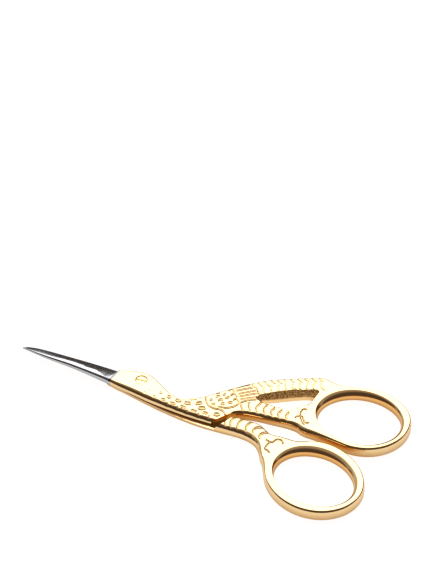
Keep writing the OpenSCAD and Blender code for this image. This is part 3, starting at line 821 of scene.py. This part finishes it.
def gold_plate():
    """Polished gold plate, with painted shade in the engraving, painted shade and warm reflection
    in the rings' bores and painted warm reflection on the lap's end wall; cast and rough in the
    window.
    """
    material, n, inputs = metal("gold_plate")
    place, (x, y, z), upright = n.surface()
    cloud, grain = n.noise(place, 260, 4), n.noise(place, 5200, 4)
    scratch = n.noise(n.stretched(place, (0.12, 1, 1)), 9000, 2)
    mottle = n.ramp(n.noise(place, 2600, 5), 0.4, 0.62)

    engraved = n.add("ShaderNodeAttribute", attribute_name="engraved").outputs["Fac"]
    # Painted shade: the engraving takes a darker gold colour; its added roughness is real
    recess = n.times(n.ramp(engraved, 0.03, 0.12), n.ramp(upright, 0.3, 0.5))
    # Painted shade and warm reflection: the rings' bores take a darker, deeper orange gold
    near_hole = [n.in_oval(place, hole, 0.75) for hole in (REAR_HOLE, FRONT_HOLE)]
    bores = n.times(n.math("MAXIMUM", *near_hole), n.ramp(upright, 0.5, 0.3))
    cast = n.times(n.in_box(x, y, *WINDOW_BOX), n.ramp(upright, 0.97, 0.93))
    skin = n.ramp(z, 1.75 * MM, 2.1 * MM)
    # Painted warm reflection: the lap's end wall takes a stronger orange gold
    lap_wall_reflection = n.times(n.in_box(x, y, *LAP_WALL_BOX), n.ramp(upright, 0.3, 0.1),
                       n.ramp(z, 1.4 * MM, 1.6 * MM))

    colour = n.blend(cloud, *PLATE_TONES)
    colour = n.blend(recess, colour, ENGRAVING_SHADE)
    colour = n.blend(bores, colour, BORE_SHADE_AND_REFLECTION)
    colour = n.blend(cast, colour, n.blend(skin, CAST, n.blend(mottle, *SKIN_TONES)))
    n.feed(inputs["Base Color"], n.blend(lap_wall_reflection, colour, LAP_WALL_REFLECTION))
    n.feed(inputs["Roughness"], n.plus(
        n.times(cloud, 0.04), n.times(scratch, 0.03), n.times(recess, 0.32),
        n.times(cast, n.plus(n.times(skin, 0.2), 0.06)), 0.02))
    rough_skin = n.times(n.plus(grain, mottle), n.times(cast, skin))
    n.feed(inputs["Normal"], n.bump(n.plus(n.times(scratch, 0.01), rough_skin), 0.12 * MM))
    return material


def ground_steel():
    """Steel ground across the blades, satin on the inner faces and darker there as painted shade
    where the blades meet, and dark grey at the shoulder as painted shade.
    """
    material, n, inputs = metal("ground_steel")
    place, (x, y, z), upright = n.surface()
    streak = n.noise(n.stretched(place, (1, 0.04, 0.04)), 9000, 3)
    broad = n.noise(n.stretched(place, (1, 0.1, 0.1)), 1500, 3)

    plate_x = PIVOT.x + plating_line(0) * MM - PLATE_LEAN * PIVOT.y
    # Painted shade: the polished facet at the shoulder takes a dark grey
    past_plate = n.math("SUBTRACT", x, n.times(y, PLATE_LEAN))
    shoulder = n.times(n.ramp(past_plate, plate_x - 0.6 * MM, plate_x - 0.5 * MM),
                       n.ramp(upright, 0.3, 0.5))
    # Painted shade: the inner faces at mid height take darker steel; their added roughness is real
    inner = n.times(n.between(z, 1.15 * MM, 1.75 * MM, 0.1 * MM), n.ramp(upright, 0.9, 0.97))

    colour = n.blend(inner, n.blend(broad, *STEEL_TONES), n.blend(streak, *INNER_SHADE_TONES))
    n.feed(inputs["Base Color"], n.blend(shoulder, colour, SHOULDER_SHADE))
    n.feed(inputs["Roughness"], n.plus(n.times(streak, 0.16), n.times(inner, 0.08), 0.1))
    n.feed(inputs["Normal"], n.bump(streak, 0.0012 * MM))
    return material


def set_camera():
    """The photo's view."""
    data = bpy.data.cameras.new("camera")
    camera = add_object("camera", data)
    camera.location = row(VIEW_FROM)
    camera.rotation_mode = "QUATERNION"
    camera.rotation_quaternion = VIEW_ALONG.to_track_quat("-Z", "Y")
    data.lens, data.sensor_width = LENS, SENSOR
    data.clip_start, data.clip_end = 0.01, 20
    bpy.context.scene.camera = camera


def set_world():
    """A dark warm studio with one large soft window of light beyond the object."""
    world = bpy.data.worlds.new("studio")
    bpy.context.scene.world = world
    world.use_nodes = True
    world.node_tree.nodes.clear()
    n = Nodes(world.node_tree)
    beyond = Vector((VIEW_ALONG.x, VIEW_ALONG.y, 0)).normalized()
    direction = n.add("ShaderNodeTexCoord").outputs["Generated"]
    up = n.vector_math("DOT_PRODUCT", direction, (0, 0, 1))
    ahead = n.vector_math("DOT_PRODUCT", direction, tuple(beyond))
    side = n.vector_math("DOT_PRODUCT", direction, (beyond.y, -beyond.x, 0))
    elevation = n.times(n.math("ARCTAN2", up, ahead), 180 / math.pi)
    window = n.times(n.ramp(elevation, 28, 41), n.ramp(elevation, 71, 56),
                     n.ramp(side, 0.5, 0.2), n.ramp(side, -0.5, -0.2))
    wing = n.times(n.ramp(side, -0.2, -0.6), n.ramp(ahead, 0.15, 0.5))
    ceiling = n.between(elevation, 62, 98, 22)
    radiance = n.plus(n.times(window, WINDOW_LIGHT), n.times(wing, WING_LIGHT),
                      n.times(ceiling, CEILING_LIGHT), DARK_LIGHT)
    lit = n.add("ShaderNodeBackground")
    n.feed(lit.inputs["Strength"], radiance)
    n.feed(lit.inputs["Color"], n.blend(n.ramp(radiance, DARK_LIGHT, 0.5), DARK_TONE, WHITE))
    seen = n.add("ShaderNodeBackground")
    n.feed(seen.inputs["Strength"], 1)
    n.feed(seen.inputs["Color"], (1, 1, 1, 1))
    mix = n.add("ShaderNodeMixShader")
    n.feed(mix.inputs[0], n.add("ShaderNodeLightPath").outputs["Is Camera Ray"])
    n.feed(mix.inputs[1], lit.outputs[0])
    n.feed(mix.inputs[2], seen.outputs[0])
    n.feed(n.add("ShaderNodeOutputWorld").inputs[0], mix.outputs[0])


def white_floor():
    """Sheet that the camera and the metal see as white, with painted shade and warm reflection
    in the nooks of the gold as the metal sees it.
    """
    h, z = FLOOR_HALF, FLOOR_Z
    mesh = bpy.data.meshes.new("floor")
    mesh.from_pydata([(-h, -h, z), (h, -h, z), (h, h, z), (-h, h, z)], [], [(0, 1, 2, 3)])
    material = bpy.data.materials.new("floor_white")
    material.use_nodes = True
    material.node_tree.nodes.clear()
    n = Nodes(material.node_tree)
    paper = n.add("ShaderNodeBsdfDiffuse")
    n.feed(paper.inputs["Color"], (0.5, 0.5, 0.5, 1))
    glow = n.add("ShaderNodeEmission")
    rays = n.add("ShaderNodeLightPath").outputs
    direct = rays["Is Camera Ray"]
    mirrored = n.math("MAXIMUM", rays["Is Glossy Ray"], rays["Is Transmission Ray"])
    n.feed(glow.inputs["Strength"], n.plus(n.times(direct, FLOOR_SEEN),
                                              n.times(mirrored, FLOOR_MIRRORED)))
    # Painted shade and warm reflection: the floor's mirrored glow turns darker and warmer where
    # the gold closes it in, except near the window
    nook = n.add("ShaderNodeAmbientOcclusion", samples=8)
    n.feed(nook.inputs["Distance"], 8 * MM)
    spot = n.add("ShaderNodeNewGeometry").outputs["Position"]
    from_window = n.vector_math("DISTANCE", spot, tuple(row([WINDOW_MIDDLE])[0]))
    open_sky = n.math("MAXIMUM", n.ramp(nook.outputs["AO"], 0.25, 1),
                      n.ramp(from_window, 8 * MM, 5 * MM))
    n.feed(glow.inputs["Color"], n.blend(n.math("MAXIMUM", direct, open_sky), NOOK_SHADE_TONE, WHITE))
    both = n.add("ShaderNodeAddShader")
    n.feed(both.inputs[0], paper.outputs[0])
    n.feed(both.inputs[1], glow.outputs[0])
    n.feed(n.add("ShaderNodeOutputMaterial").inputs[0], both.outputs[0])
    mesh.materials.append(material)
    return add_object("floor", mesh)


# The halves: whole slabs first, then the laps, the grinding and the bores
upper_outer = np.concatenate([
    smooth_path(BLADE_FAR + HEAD + BACK + rim(REAR_RIM, 108, -108)
                + REAR_FOOT[::-1] + REAR_LEG[::-1]),
    smooth_path(BREAST[::-1] + BLADE_NEAR[::-1])])
lower_outer = smooth_path(
    BLADE_FAR + HEAD + HIDDEN_BACK + FRONT_LEG_FAR + rim(FRONT_RIM, 126, -138)
    + HEEL[::-1] + BELLY[::-1] + BLADE_NEAR[::-1])
window_loop = smooth_path(WINDOW[::-1], closed=True)
upper = slab("upper_handle", upper_outer, UPPER_FULLNESS,
             [(hole_loop(REAR_HOLE, REAR_MOUTH), False), (window_loop, True)],
             UPPER_BORE_FULLNESS, relief_of(NECK_DIMPLES + WING_DIMPLES, UPPER_GROOVES))
lower = slab("lower_handle", lower_outer, LOWER_FULLNESS,
             [(hole_loop(FRONT_HOLE, FRONT_MOUTH), False)],
             LOWER_BORE_FULLNESS, relief_of(NECK_DIMPLES, LOWER_GROOVES))
spine_y, edge_y = along_rail(BLADE_NEAR), along_rail(BLADE_FAR)
cut(upper, lap_end_tool())
cut(upper, lap_tool_upper())
cut(upper, grind_tool(spine_y, edge_y, False))
cut(upper, bore_tool(UPPER_BORE_R))
cut(upper, bore_tool(SEAT_R, MID + half_height(0) - HEAD_SINK - HEAD_H))
cut(lower, lap_tool_lower())
cut(lower, grind_tool(edge_y, spine_y, True))
cut(lower, bore_tool(SHANK_R))

# Each half is parted at the edge of the plating into a gold handle and a steel blade
upper_blade = add_object("upper_blade", upper.data.copy())
lower_blade = add_object("lower_blade", lower.data.copy())
for blade, handle in ((upper_blade, upper), (lower_blade, lower)):
    cut(blade, blade_block(), "INTERSECT")
    cut(handle, blade_block())
screw = turned_screw()

gold, steel = gold_plate(), ground_steel()
for ob, material in ((upper, gold), (lower, gold), (upper_blade, steel), (lower_blade, steel),
                     (screw, gold)):
    finish_shading(ob, material)
for ob, body, node, slot in ((upper, "upper", "upper_half", "gold_plate"),
                             (upper_blade, "upper", "upper_half", "ground_steel"),
                             (lower, "lower", "lower_half", "gold_plate"),
                             (lower_blade, "lower", "lower_half", "ground_steel"),
                             (screw, "lower", "pivot_screw", "gold_screw")):
    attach(ob, body)
    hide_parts(node)

set_camera()
set_world()
floor = white_floor()

bpy.context.scene.view_settings.view_transform = "Standard"
